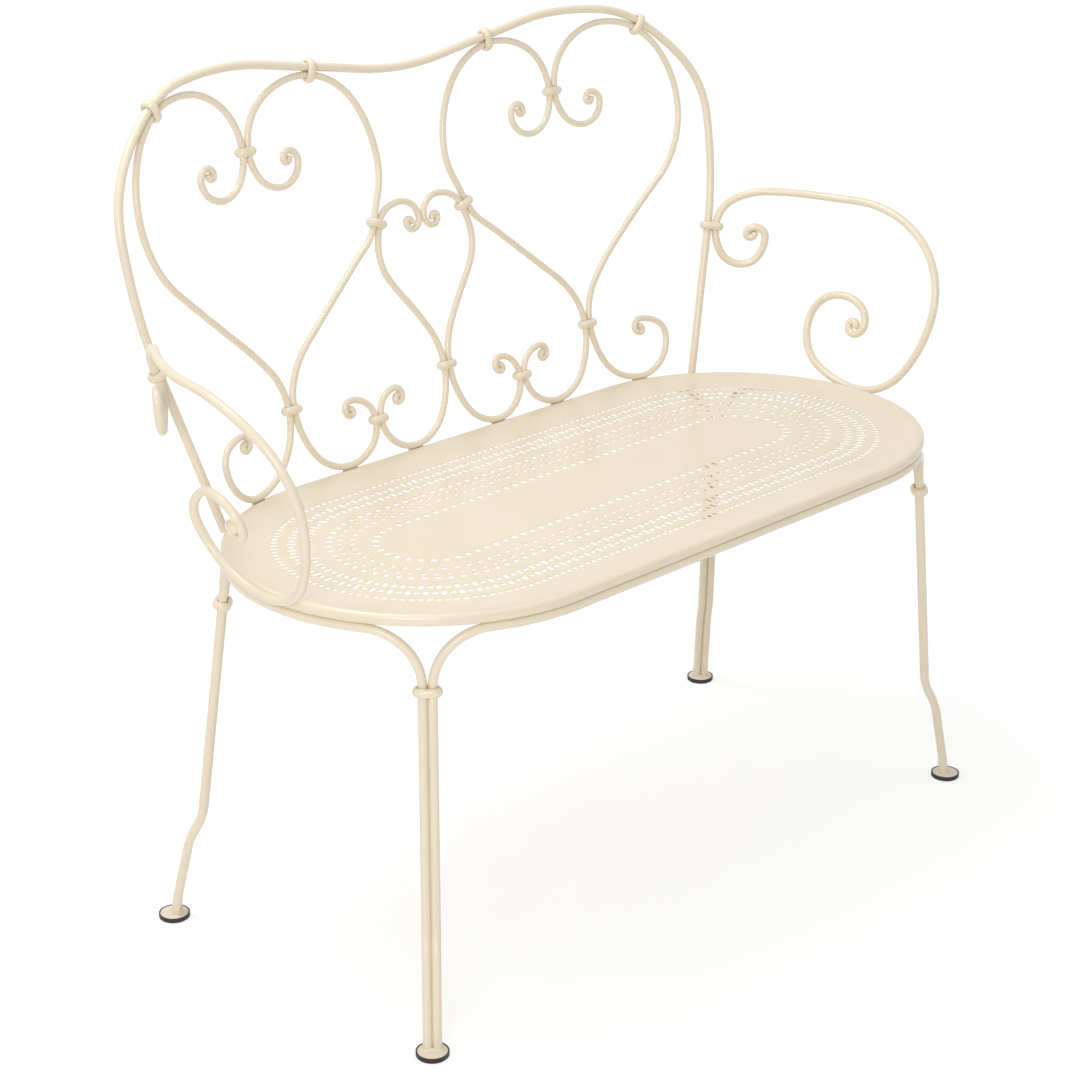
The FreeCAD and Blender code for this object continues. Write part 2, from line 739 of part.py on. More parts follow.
def leg_collar(angle, splay):
    """Collar that ties the two rods of a right-hand leg."""
    angle = math.radians(angle)
    z = ring_height - leg_collar_drop
    way = unit(Vector(math.cos(angle), math.sin(angle), 0) * splay - UP)
    first = leg_point(angle, -frame_pair, leg_reach(splay, z), z)
    second = leg_point(angle, frame_pair, leg_reach(splay, z), z)
    return collar(first, frame_rod, second, frame_rod, way)


def foot_disc(centre):
    """Steel disc welded under a leg."""
    thickness = glide_height - glide_floor - weld_gap
    return Part.makeCylinder(disc_radius, thickness, centre + UP * (glide_floor + weld_gap))


def glide(centre):
    """Moulded cap pushed on to the disc from below."""
    cap = Part.makeCylinder(glide_radius, glide_height, centre)
    cap = cap.makeChamfer(glide_chamfer, [e for e in cap.Edges if e.BoundBox.ZMax < glide_chamfer])
    pocket = Part.makeCylinder(disc_radius + disc_clearance, glide_height, centre + UP * glide_floor)
    return cap.cut(pocket).Solids[0]


def mirrored(shape):
    """The same piece on the left half of the bench."""
    return shape.mirror(Vector(0, 0, 0), Vector(1, 0, 0))


def build():
    """All pieces by name."""
    right_frame = frame_knots()
    pieces = {
        "seat_panel": seat_panel(),
        "back_frame": bend_rod(reverse(mirror(right_frame[1:])) + right_frame, frame_rod),
        "leg_rail_front": long_rail(-front_leg_angle, front_splay),
        "leg_rail_back": long_rail(back_leg_angle, back_splay),
    }
    right = {
        "leg_rail": side_rail(),
        "heart_outer": bend_rod(heart_outer_knots(), scroll_rod, True),
        "heart_inner": bend_rod(heart_inner_knots(), scroll_rod, True),
        "small_heart": bend_rod(small_heart_knots(), scroll_rod, True),
        "arm": bend_rod(arm_knots(), frame_rod, True),
    }
    upright, arm, way = arm_waist()
    right["collar_arm"] = collar(upright, frame_rod, arm, frame_rod, way)
    right.update(back_collars())
    pieces["collar_middle"] = right.pop("collar_middle")
    legs = [("front", -front_leg_angle, front_splay), ("back", back_leg_angle, back_splay)]
    for name, angle, splay in legs:
        right["collar_leg_" + name] = leg_collar(angle, splay)
        foot = leg_point(math.radians(angle), 0.0, foot_reach(splay) + disc_outward, 0.0)
        right["foot_disc_" + name] = foot_disc(foot)
        right["glide_" + name] = glide(foot)
    for name, shape in right.items():
        pieces[name + "_right"] = shape
        pieces[name + "_left"] = mirrored(shape)
    rods = [shape for name, shape in pieces.items() if name != "seat_panel"]
    boxes = [shape.optimalBoundingBox(False, False) for shape in rods]
    front = min([box.YMin for box in boxes] + [-seat_end_radius])
    rear = max([box.YMax for box in boxes] + [seat_end_radius])
    for shape in pieces.values():
        shape.translate(Vector(0, -(front + rear) / 2.0, 0))
    return pieces


os.makedirs("parts", exist_ok=True)
for node, piece in build().items():
    piece.exportStep("parts/" + node + ".step")
    state = "ok" if piece.isValid() else "INVALID"
    print(node, len(piece.Faces), "faces", round(piece.Volume), "mm3", state)
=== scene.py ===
# %% [markdown]
# # A cream garden bench of bent steel rod
#
# The bench is bent from round steel bar, tied with forged collars, welded to a pressed and perforated
# seat, and sprayed all over with one cream powder coat. Only the glides under its feet are another
# material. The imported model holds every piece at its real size. This lesson gives the pieces what a
# model of solids leaves out: smooth skins, welds, the soft edge of a thick coat, and studio light.

# %% Load the frame
import math
from collections import Counter, defaultdict

import bpy
from mathutils import Matrix, Vector


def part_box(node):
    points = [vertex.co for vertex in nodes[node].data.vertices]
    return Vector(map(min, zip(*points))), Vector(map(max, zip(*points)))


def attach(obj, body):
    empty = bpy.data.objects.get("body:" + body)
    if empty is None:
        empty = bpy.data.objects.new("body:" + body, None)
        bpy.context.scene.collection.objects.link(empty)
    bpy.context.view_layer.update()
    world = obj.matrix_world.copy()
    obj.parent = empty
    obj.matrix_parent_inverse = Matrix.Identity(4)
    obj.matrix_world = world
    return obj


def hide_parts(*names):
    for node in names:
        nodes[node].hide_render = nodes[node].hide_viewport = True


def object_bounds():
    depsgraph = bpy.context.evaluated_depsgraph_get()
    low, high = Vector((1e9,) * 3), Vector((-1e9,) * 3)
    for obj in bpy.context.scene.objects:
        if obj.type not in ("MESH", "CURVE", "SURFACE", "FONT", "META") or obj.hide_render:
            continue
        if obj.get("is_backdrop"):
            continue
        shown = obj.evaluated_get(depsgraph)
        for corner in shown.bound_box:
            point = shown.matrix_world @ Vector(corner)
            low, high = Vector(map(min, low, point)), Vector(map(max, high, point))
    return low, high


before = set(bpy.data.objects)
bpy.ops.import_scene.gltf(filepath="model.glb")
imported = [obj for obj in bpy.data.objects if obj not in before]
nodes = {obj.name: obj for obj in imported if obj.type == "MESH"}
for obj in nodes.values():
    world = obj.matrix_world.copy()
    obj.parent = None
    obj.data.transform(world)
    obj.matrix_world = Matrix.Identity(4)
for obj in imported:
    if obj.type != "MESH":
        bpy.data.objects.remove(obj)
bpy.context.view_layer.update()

# %% [markdown]
# ## Camera
#
# The photograph was taken from the front left, a little above the seat, with a long lens. A lens of
# 84 mm on a 36 mm sensor fits its perspective. The camera is placed from the seat, because the seat
# is the piece that all others are measured from.

# %% Camera
seat_low, seat_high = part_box("seat_panel")
seat_middle_y = (seat_low.y + seat_high.y) / 2
seat_top = seat_high.z
camera_from_seat = Vector((-1.8729, -1.7401, 0.9171))
camera_tilt = 21.064
camera_swing = 45.686
sensor_width = 36.0
lens_length = 84.07

camera_data = bpy.data.cameras.new("camera")
camera_data.sensor_width = sensor_width
camera_data.lens = lens_length
camera = bpy.data.objects.new("camera", camera_data)
camera.location = Vector((0.0, seat_middle_y, seat_top)) + camera_from_seat
camera.rotation_euler = (math.radians(90.0 - camera_tilt), 0.0, math.radians(-camera_swing))
bpy.context.scene.collection.objects.link(camera)
bpy.context.scene.camera = camera
print("camera", [round(v, 3) for v in camera.location], "lens", lens_length)

# %% [markdown]
# ## Studio
#
# A catalogue picture stands on white. The camera sees a white world, while the light that falls on
# the bench comes from a dimmer, even world and three soft boxes, at a level where a colour renders
# about as it is written. A bright background must not light the bench, so the two are told apart by
# the kind of ray.

# %% World
pure_white = (1.0, 1.0, 1.0, 1.0)
sky_strength = 0.53
seen_strength = 1.0


def seen_rays(tree):
    """Value of 1 for rays from the camera, from a reflection or through glass."""
    rays = tree.nodes.new("ShaderNodeLightPath")
    total = rays.outputs["Is Camera Ray"]
    for kind in ("Is Glossy Ray", "Is Transmission Ray"):
        larger = tree.nodes.new("ShaderNodeMath")
        larger.operation = "MAXIMUM"
        tree.links.new(total, larger.inputs[0])
        tree.links.new(rays.outputs[kind], larger.inputs[1])
        total = larger.outputs["Value"]
    return total


def even_world(tree, strength):
    """A plain white surrounding of one strength."""
    shade = tree.nodes.new("ShaderNodeBackground")
    shade.inputs["Color"].default_value = pure_white
    shade.inputs["Strength"].default_value = strength
    return shade.outputs["Background"]


world = bpy.data.worlds.new("studio")
bpy.context.scene.world = world
world.use_nodes = True
tree = world.node_tree
tree.nodes.clear()
choose = tree.nodes.new("ShaderNodeMixShader")
output = tree.nodes.new("ShaderNodeOutputWorld")
tree.links.new(seen_rays(tree), choose.inputs["Fac"])
tree.links.new(even_world(tree, sky_strength), choose.inputs[1])
tree.links.new(even_world(tree, seen_strength), choose.inputs[2])
tree.links.new(choose.outputs["Shader"], output.inputs["Surface"])
bpy.context.scene.view_settings.view_transform = "Standard"
print("world", world.name, "sky", sky_strength)

# %% [markdown]
# The key light is a soft box overhead, a little behind and to the left of the bench. It leaves the far
# margin of the dished seat darker than the near one. A second box from the front left draws a bright
# line along the rods, and a weak, wide one from the right keeps their other side open.

# %% Lamps
bench_middle = Vector((0.0, 0.0, 0.5))


def soft_box(name, place, size, power):
    """A square soft box at a place, turned towards the bench."""
    data = bpy.data.lights.new(name, "AREA")
    data.shape = "SQUARE"
    data.size = size
    data.energy = power
    lamp = bpy.data.objects.new(name, data)
    lamp.location = place
    lamp.rotation_euler = (bench_middle - Vector(place)).to_track_quat("-Z", "Y").to_euler()
    bpy.context.scene.collection.objects.link(lamp)
    print("lamp", name, size, "m", power, "W")


soft_box("overhead", place=(-0.6, 0.6, 2.8), size=0.9, power=26.0)
soft_box("front_left", place=(-2.4, -1.6, 1.5), size=1.0, power=27.0)
soft_box("right_fill", place=(2.4, -1.6, 1.2), size=1.8, power=5.0)

# %% [markdown]
# The floor is white paper. To the camera it is part real shading and part its own glow, which together
# reach white wherever nothing shades it, so that the paper melts into the background and still carries
# the bench's shadow. The lamps light the paper most around the bench, so the glow sinks there by about
# as much. To the bench it is plain paper that throws some light back.

# %% Paper
paper_white = (0.93, 0.93, 0.93, 1.0)
shadow_share = 0.45
spare_white = 0.02
lamp_level = 0.34
lamp_reach = 2.4


def matt(tree, colour):
    """Matt shading of one colour."""
    shade = tree.nodes.new("ShaderNodeBsdfDiffuse")
    shade.inputs["Color"].default_value = colour
    return shade.outputs["BSDF"]


def paper_glow(tree):
    """The glow that brings the paper up to white, weaker where the lamps light it."""
    place = tree.nodes.new("ShaderNodeTexCoord")
    spread = tree.nodes.new("ShaderNodeMapping")
    spread.inputs["Scale"].default_value = (1.0 / lamp_reach, 1.0 / lamp_reach, 1.0)
    pool = tree.nodes.new("ShaderNodeTexGradient")
    pool.gradient_type = "SPHERICAL"
    sunk = tree.nodes.new("ShaderNodeMath")
    sunk.operation = "MULTIPLY_ADD"
    sunk.inputs[1].default_value = -shadow_share * lamp_level
    sunk.inputs[2].default_value = 1.0 + spare_white - shadow_share * sky_strength
    glow = tree.nodes.new("ShaderNodeEmission")
    glow.inputs["Color"].default_value = pure_white
    tree.links.new(place.outputs["Object"], spread.inputs["Vector"])
    tree.links.new(spread.outputs["Vector"], pool.inputs["Vector"])
    tree.links.new(pool.outputs["Fac"], sunk.inputs[0])
    tree.links.new(sunk.outputs["Value"], glow.inputs["Strength"])
    return glow.outputs["Emission"]


paper = bpy.data.materials.new("studio_paper")
paper.use_nodes = True
tree = paper.node_tree
tree.nodes.clear()
both = tree.nodes.new("ShaderNodeAddShader")
choose = tree.nodes.new("ShaderNodeMixShader")
output = tree.nodes.new("ShaderNodeOutputMaterial")
tree.links.new(matt(tree, (shadow_share, shadow_share, shadow_share, 1.0)), both.inputs[0])
tree.links.new(paper_glow(tree), both.inputs[1])
tree.links.new(seen_rays(tree), choose.inputs["Fac"])
tree.links.new(matt(tree, paper_white), choose.inputs[1])
tree.links.new(both.outputs["Shader"], choose.inputs[2])
tree.links.new(choose.outputs["Shader"], output.inputs["Surface"])
print("paper", paper.name)

# %% Floor
floor_radius = 20.0
floor_sides = 64

bpy.ops.object.select_all(action="DESELECT")
bpy.ops.mesh.primitive_circle_add(vertices=floor_sides, radius=floor_radius, fill_type="NGON")
floor = bpy.context.active_object
floor.name = "floor"
floor.data.materials.append(paper)
floor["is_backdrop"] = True
print("floor", 2.0 * floor_radius, "m across")

# %% [markdown]
# ## Powder coat
#
# Powder is sprayed dry, clings to the steel and melts into one skin in an oven. The skin is not quite
# even: it dries with a faint orange peel two or three millimetres across, its gloss varies in finer
# grains, and its colour drifts a little over a hand's breadth. One node group makes all three
# patterns, because the steel and the glides use them with different values.

# %% Group for a sprayed or moulded skin
grains_per_peel = 2.7


def make_skin_group():
    """Slow drift of a finish over the surface, fine grains of gloss, and the height of its peel."""
    group = bpy.data.node_groups.new("skin_texture", "ShaderNodeTree")
    sockets = group.interface
    sockets.new_socket("Vector", in_out="INPUT", socket_type="NodeSocketVector")
    for name in ("Drift Scale", "Peel Scale"):
        sockets.new_socket(name, in_out="INPUT", socket_type="NodeSocketFloat")
    for name in ("Drift", "Speckle", "Height"):
        sockets.new_socket(name, in_out="OUTPUT", socket_type="NodeSocketFloat")
    entry = group.nodes.new("NodeGroupInput")
    leave = group.nodes.new("NodeGroupOutput")
    drift = group.nodes.new("ShaderNodeTexNoise")
    drift.inputs["Detail"].default_value = 3.0
    peel = group.nodes.new("ShaderNodeTexNoise")
    peel.inputs["Detail"].default_value = 1.5
    speckle = group.nodes.new("ShaderNodeTexNoise")
    speckle.inputs["Detail"].default_value = 2.0
    finer = group.nodes.new("ShaderNodeMath")
    finer.operation = "MULTIPLY"
    finer.inputs[1].default_value = grains_per_peel
    link = group.links.new
    for texture in (drift, peel, speckle):
        link(entry.outputs["Vector"], texture.inputs["Vector"])
    link(entry.outputs["Drift Scale"], drift.inputs["Scale"])
    link(entry.outputs["Peel Scale"], peel.inputs["Scale"])
    link(entry.outputs["Peel Scale"], finer.inputs[0])
    link(finer.outputs["Value"], speckle.inputs["Scale"])
    link(drift.outputs["Fac"], leave.inputs["Drift"])
    link(speckle.outputs["Fac"], leave.inputs["Speckle"])
    link(peel.outputs["Fac"], leave.inputs["Height"])
    return group


skin_group = make_skin_group()
print("group", skin_group.name)

# %% [markdown]
# The group only gives patterns. A material turns them into a finish: the drift mixes two colours, the
# grains move the roughness between two values, and the height feeds a bump. The shader itself stays in
# the material. The collars and the glides have the right shape already, so they keep their meshes and
# only take on the finish.

# %% Coat and plastic
gloss_range = (0.3, 0.7)
bump_strength = 0.2


def skin_material(name, dark, light, rough, drift_scale, peel_scale, peel_depth):
    """A coated or moulded finish that drifts between two colours and two roughnesses."""
    material = bpy.data.materials.new(name)
    material.use_nodes = True
    tree = material.node_tree
    link = tree.links.new
    shader = tree.nodes["Principled BSDF"]
    place = tree.nodes.new("ShaderNodeTexCoord")
    skin = tree.nodes.new("ShaderNodeGroup")
    skin.node_tree = skin_group
    skin.inputs["Drift Scale"].default_value = drift_scale
    skin.inputs["Peel Scale"].default_value = peel_scale
    link(place.outputs["Object"], skin.inputs["Vector"])
    tint = tree.nodes.new("ShaderNodeMixRGB")
    tint.inputs["Color1"].default_value = (*dark, 1.0)
    tint.inputs["Color2"].default_value = (*light, 1.0)
    link(skin.outputs["Drift"], tint.inputs["Fac"])
    link(tint.outputs["Color"], shader.inputs["Base Color"])
    gloss = tree.nodes.new("ShaderNodeMapRange")
    gloss.inputs["From Min"].default_value = gloss_range[0]
    gloss.inputs["From Max"].default_value = gloss_range[1]
    gloss.inputs["To Min"].default_value = rough[0]
    gloss.inputs["To Max"].default_value = rough[1]
    link(skin.outputs["Speckle"], gloss.inputs["Value"])
    link(gloss.outputs["Result"], shader.inputs["Roughness"])
    bump = tree.nodes.new("ShaderNodeBump")
    bump.inputs["Strength"].default_value = bump_strength
    bump.inputs["Distance"].default_value = peel_depth
    link(skin.outputs["Height"], bump.inputs["Height"])
    link(bump.outputs["Normal"], shader.inputs["Normal"])
    print("material", name)
    return material


cream_coat = skin_material(
    "cream_powder_coat", dark=(0.80, 0.70, 0.537), light=(0.86, 0.765, 0.596), rough=(0.24, 0.27),
    drift_scale=9.0, peel_scale=420.0, peel_depth=0.000012)
black_plastic = skin_material(
    "black_glide_plastic", dark=(0.010, 0.010, 0.011), light=(0.022, 0.022, 0.024), rough=(0.42, 0.60),
    drift_scale=60.0, peel_scale=1600.0, peel_depth=0.00004)
for name, node in nodes.items():
    node.data.materials.clear()
    node.data.materials.append(black_plastic if name.startswith("glide") else cream_coat)

# %% [markdown]
# ## Rods
#
# Every rod was bent cold round a former, one bend after another. In the frame each bend is a separate
# patch of mesh that starts and ends in a circle, so the bends can be read back from those circles:
# a centre, and the direction in which the rod runs there. The patches themselves are long thin
# triangles that catch the light in streaks, which is why the rods are made again here in even quads.

# %% Find the patches of a mesh
def patches(mesh):
    """Faces of a mesh in groups that share no vertex."""
    owner = {}
    groups = []
    for face in mesh.polygons:
        known = {owner[v] for v in face.vertices if v in owner}
        target = min(known) if known else len(groups)
        if not known:
            groups.append([])
        for other in known - {target}:
            for moved in groups[other]:
                owner.update(dict.fromkeys(moved.vertices, target))
            groups[target] += groups[other]
            groups[other] = []
        groups[target].append(face)
        owner.update(dict.fromkeys(face.vertices, target))
    return [group for group in groups if group]


back_mesh = nodes["back_frame"].data
back_patches = patches(back_mesh)
print("back frame", len(back_patches), "patches")


# %% Measure the circles of a patch
def open_edges(mesh, patch):
    """For each place on the border of a patch, the places next to it along the border."""
    uses = Counter()
    for face in patch:
        keys = [tuple(round(c, 6) for c in mesh.vertices[v].co) for v in face.vertices]
        uses.update(frozenset(edge) for edge in zip(keys, keys[1:] + keys[:1]))
    links = defaultdict(list)
    for edge, count in uses.items():
        if count == 1 and len(edge) == 2:
            first, second = edge
            links[first].append(second)
            links[second].append(first)
    return links


def end_circles(mesh, patch):
    """Centre, normal and radius of each circle that bounds a patch."""
    exact = {}
    for face in patch:
        for v in face.vertices:
            place = mesh.vertices[v].co
            exact[tuple(round(c, 6) for c in place)] = place.copy()
    links = open_edges(mesh, patch)
    circles = []
    while links:
        ring = []
        waiting = [next(iter(links))]
        while waiting:
            key = waiting.pop()
            if key in links:
                ring.append(exact[key])
                waiting += links.pop(key)
        centre = sum(ring, Vector()) / len(ring)
        spokes = [place - centre for place in ring]
        normal = sum((a.cross(b) for a, b in zip(spokes, spokes[1:] + spokes[:1])), Vector())
        circles.append((centre, normal.normalized(), spokes[0].length))
    return circles


print("circles on each patch of the back frame", [len(end_circles(back_mesh, p)) for p in back_patches])

# %% [markdown]
# The patches come in no order. A patch with a single circle is the cap of an end. From one cap, the
# nearest bend that is left is always the next, which puts the bends in a row. What is kept of them is
# a list of stations: the places where one bend meets the next, each with its direction.

# %% Walk along the rods
rail_names = ["leg_rail_" + side for side in ("front", "back", "left", "right")]
heart_kinds = ("heart_outer", "heart_inner", "small_heart")
heart_names = [kind + side for kind in heart_kinds for side in ("_left", "_right")]
arm_names = ["arm_left", "arm_right"]
rod_names = ["back_frame"] + rail_names + heart_names + arm_names


def rod_stations(node):
    """Place and direction at each end of a rod's bends, its radius, and the rise of its two end caps."""
    mesh = nodes[node].data
    bends = []
    caps = []
    for patch in patches(mesh):
        circles = end_circles(mesh, patch)
        if len(circles) == 2:
            bends.append(circles)
            continue
        centre, normal, radius = circles[0]
        points = [mesh.vertices[v].co for face in patch for v in face.vertices]
        caps.append((centre, max(abs((p - centre).dot(normal)) for p in points)))
    here = caps[0][0]
    stations = []
    while bends:
        bend = min(bends, key=lambda pair: min((circle[0] - here).length for circle in pair))
        bends.remove(bend)
        first, last = sorted(bend, key=lambda circle: (circle[0] - here).length)
        chord = last[0] - first[0]
        ways = [normal if normal.dot(chord) > 0 else -normal for _, normal, _ in (first, last)]
        if not stations:
            stations.append((first[0], ways[0]))
        stations.append((last[0], ways[1]))
        here = last[0]
    return stations, radius, (caps[0][1], caps[1][1])


rods = {name: rod_stations(name) for name in rod_names}
print("rods", {name: len(rod[0]) - 1 for name, rod in rods.items()}, "bends")

# %% [markdown]
# The tip of a scroll is rolled in until it closes on itself. The solids leave a little daylight in
# each eye, so the last half turn is wound tighter here: two quarter turns of falling radius, and then
# the tightest bend that the bar takes, up to where the tip meets the turn outside it.

# %% Measure and make a bend
def bend_between(start, start_way, stop, stop_way):
    """Axis, centre and radius of the bend between two stations."""
    axis = start_way.cross(stop_way).normalized()
    inward = axis.cross(start_way)
    chord = stop - start
    radius = chord.length_squared / (2.0 * chord.dot(inward))
    return axis, start + inward * radius, radius


def turned(place, way, axis, radius, angle):
    """Place and direction of a bar after a turn."""
    centre = place + axis.cross(way) * radius
    turn = Matrix.Rotation(angle, 3, axis)
    return centre + turn @ (place - centre), turn @ way


for name in heart_names:
    eye_start, eye_stop = rods[name][0][1:3]
    print(name, "eye of", round(1000.0 * bend_between(*eye_start, *eye_stop)[2], 1), "mm radius")

# %% Roll the scrolls in
quarter = math.radians(90.0)
inner_share = 0.8
tight_share = 1.12
tightest_share = 1.04
roll_step = math.radians(2.0)
roll_limit = math.radians(120.0)
flat_cap = 1e-4


def rolled_in(stations, bar):
    """Stations of a rod whose first end is wound tight."""
    axis, _, radius = bend_between(*stations[1], *stations[2])
    _, whorl_centre, whorl_radius = bend_between(*stations[2], *stations[3])
    eye = [stations[2]]
    for size in (radius * inner_share, bar * tight_share):
        eye.insert(0, turned(*eye[0], axis, size, -quarter))
    angle = 0.0
    tip = None
    while angle < roll_limit:
        angle += roll_step
        trial = turned(*eye[0], axis, bar * tightest_share, -angle)
        if whorl_radius - (trial[0] - whorl_centre).length < 2.0 * bar:
            break
        tip = trial
    if tip:
        eye.insert(0, tip)
    return eye + stations[3:]


def backwards(stations):
    """The same rod, walked from its other end."""
    return [(place, -way) for place, way in reversed(stations)]


for name in heart_names + arm_names:
    stations, bar, rises = rods[name]
    if rises[0] > flat_cap:
        stations = rolled_in(stations, bar)
    if rises[1] > flat_cap:
        stations = backwards(rolled_in(backwards(stations), bar))
    rods[name] = (stations, bar, rises)
    print(name, "rolled in", len(stations) - 1, "bends")

# %% [markdown]
# A rod starts as a circle, the section of the bar. Spin turns the circle about the centre of a bend
# and leaves a run of quads behind it, just as the former does, and extrude carries it along a straight
# run. The tighter the bend, the more steps it needs to look round.

# %% Carry a section along a bend
longest_step = 0.006
widest_step = math.radians(8.0)
straight_below = 1e-3


def edit(piece):
    """Edit mode on one piece, with nothing selected in it."""
    bpy.context.view_layer.objects.active = piece
    bpy.ops.object.mode_set(mode="EDIT")
    bpy.ops.mesh.select_all(action="DESELECT")


def pick(piece, chosen):
    """Select, in edit mode, only the vertices of a piece that pass a test."""
    bpy.ops.mesh.select_all(action="DESELECT")
    bpy.ops.object.mode_set(mode="OBJECT")
    for vertex in piece.data.vertices:
        vertex.select = chosen(vertex)
    bpy.ops.object.mode_set(mode="EDIT")


def spin_steps(length, turn):
    """Steps that keep a bend's quads short and its facets shallow."""
    return math.ceil(max(length / longest_step, turn / widest_step))


def follow(start, start_way, stop, stop_way):
    """Carry the selected section along one bend or straight run."""
    chord = stop - start
    turn = start_way.angle(stop_way)
    if turn < straight_below:
        bpy.ops.mesh.extrude_region_move(TRANSFORM_OT_translate={"value": chord})
        return
    axis, centre, _ = bend_between(start, start_way, stop, stop_way)
    steps = spin_steps(chord.length, turn)
    bpy.ops.mesh.spin(steps=steps, angle=-turn, center=centre, axis=axis)


print("a tight quarter turn takes", spin_steps(0.0, quarter), "steps")

# %% [markdown]
# The scrolls end in a dome that was forged on the tip, and the other rods were sawn off square and
# eased at the edge. The dome is the cap of a ball, drawn out of the end ring by ring.

# %% Close the ends
dome_rings = 5
sawn_ease = 0.0005
sawn_segments = 2


def dome_ball(radius, rise):
    """Radius of the ball whose cap is a dome, and half the angle that the cap spans."""
    ball = (radius * radius + rise * rise) / (2.0 * rise)
    return ball, math.asin(radius / ball)


def close_end(place, outward, radius, rise):
    """Dome over the selected end of a rod, or saw it square."""
    if rise < flat_cap:
        bpy.ops.mesh.edge_face_add()
        bpy.ops.mesh.bevel(offset=sawn_ease, segments=sawn_segments, affect="EDGES")
        return
    ball, half = dome_ball(radius, rise)
    size = radius
    height = 0.0
    for ring in range(1, dome_rings + 1):
        angle = half * (1.0 - ring / dome_rings)
        next_height = ball * math.cos(angle) - ball + rise
        next_size = ball * math.sin(angle)
        lift = outward * (next_height - height)
        bpy.ops.mesh.extrude_region_move(TRANSFORM_OT_translate={"value": lift})
        height = next_height
        if ring == dome_rings:
            bpy.ops.mesh.merge(type="CENTER")
        else:
            centre = place + outward * height
            bpy.ops.transform.resize(value=(next_size / size,) * 3, center_override=centre)
        size = next_size


print("caps", {name: [round(1000.0 * rise, 2) for rise in rod[2]] for name, rod in rods.items()}, "mm high")

# %% [markdown]
# Now each rod is bent from its stations, closed at both ends and given the coat. It stands for the
# node of the frame that it was read from, and rides on the bench's one body.

# %% Bend the rods
bar_sides = 24


def bend_rod(stations, radius, rises):
    """A rod as one tube of even quads with closed ends."""
    place, way = stations[0]
    bpy.ops.object.select_all(action="DESELECT")
    facing = way.to_track_quat("Z", "Y").to_euler()
    bpy.ops.mesh.primitive_circle_add(vertices=bar_sides, radius=radius, location=place, rotation=facing)
    rod = bpy.context.active_object
    bpy.ops.object.transform_apply(location=True, rotation=True, scale=True)
    edit(rod)
    bpy.ops.mesh.select_all(action="SELECT")
    for start, stop in zip(stations, stations[1:]):
        follow(*start, *stop)
    close_end(*stations[-1], radius, rises[1])
    pick(rod, lambda vertex: vertex.index < bar_sides)
    close_end(place, -way, radius, rises[0])
    bpy.ops.mesh.select_all(action="SELECT")
    bpy.ops.mesh.normals_make_consistent(inside=False)
    bpy.ops.object.mode_set(mode="OBJECT")
    return rod


def settle(piece, name, material, slot, *stands_for, smooth=40.0):
    """Name and finish a piece, and fix it to the bench."""
    piece.name = name
    piece.data.name = name
    piece.data.materials.clear()
    piece.data.materials.append(material)
    bpy.ops.object.select_all(action="DESELECT")
    piece.select_set(True)
    bpy.context.view_layer.objects.active = piece
    bpy.ops.object.shade_smooth_by_angle(angle=math.radians(smooth))
    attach(piece, "root")
    if stands_for:
        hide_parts(*stands_for)
    print(name, len(piece.data.polygons), "faces")


for name in rod_names:
    settle(bend_rod(*rods[name]), "rod_" + name, cream_coat, "cream_coat", name)

# %% [markdown]
# ## Feet
#
# Each pair of legs stands on a small steel disc, cut from plate, with its burr taken off before it was
# coated. A cylinder starts the disc. Its two rims are bevelled, and its top is let down a little
# towards the edge, as plate is by the shears.

# %% Foot discs
foot_names = [f"{end}_{side}" for end in ("front", "back") for side in ("left", "right")]
disc_sides = 56
disc_ease = 0.0006
disc_segments = 3
disc_fall = 0.0003
disc_fall_share = 0.3
sharp_edge = math.radians(60.0)
level_above = 0.99


def make_disc(low, high):
    """A steel disc with eased rims that fills a box."""
    radius = (high.x - low.x) / 2
    middle = (low + high) / 2
    height = high.z - low.z
    bpy.ops.object.select_all(action="DESELECT")
    bpy.ops.mesh.primitive_cylinder_add(vertices=disc_sides, radius=radius, depth=height, location=middle)
    disc = bpy.context.active_object
    bpy.ops.object.transform_apply(location=True, rotation=True, scale=True)
    edit(disc)
    bpy.ops.mesh.select_all(action="SELECT")
    bpy.ops.mesh.edges_select_sharp(sharpness=sharp_edge)
    bpy.ops.mesh.bevel(offset=disc_ease, segments=disc_segments, affect="EDGES")
    bpy.ops.object.mode_set(mode="OBJECT")
    for face in disc.data.polygons:
        face.select = face.normal.z > level_above and face.area > radius * radius
    bpy.ops.object.mode_set(mode="EDIT")
    bpy.ops.mesh.inset(thickness=radius * disc_fall_share, depth=disc_fall)
    bpy.ops.object.mode_set(mode="OBJECT")
    disc.location.z -= disc_fall
    bpy.ops.object.transform_apply(location=True, rotation=False, scale=False)
    return disc


disc_tops = {}
for name in foot_names:
    low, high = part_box("foot_disc_" + name)
    disc_tops[name] = high.z
    settle(make_disc(low, high), "disc_" + name, cream_coat, "cream_coat", "foot_disc_" + name)

# %% [markdown]
# The two rods of a leg end side by side on the disc. Their ends are walked upwards in step, which gives
# the line midway between them, where the coat and a thin weld fill the groove.

# %% Legs as pairs
pair_reach = 0.012


def leg_pairs():
    """For each foot, the stations of its two rods from the floor up."""
    climbs = []
    for rail in rail_names:
        stations = rods[rail][0]
        climbs += [stations, backwards(stations)]
    pairs = {}
    for name in foot_names:
        low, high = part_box("foot_disc_" + name)
        middle = (low + high) / 2
        near = sorted(climbs, key=lambda climb: (climb[0][0] - middle).length)[:2]
        pairs[name] = list(zip(*near))
    return pairs


def seam_stations(pair):
    """Stations midway between two rods, as far up as they stay together."""
    seam = []
    for (first, first_way), (second, second_way) in pair:
        if (second - first).length > pair_reach:
            break
        seam.append(((first + second) / 2, (first_way + second_way).normalized()))
    return seam


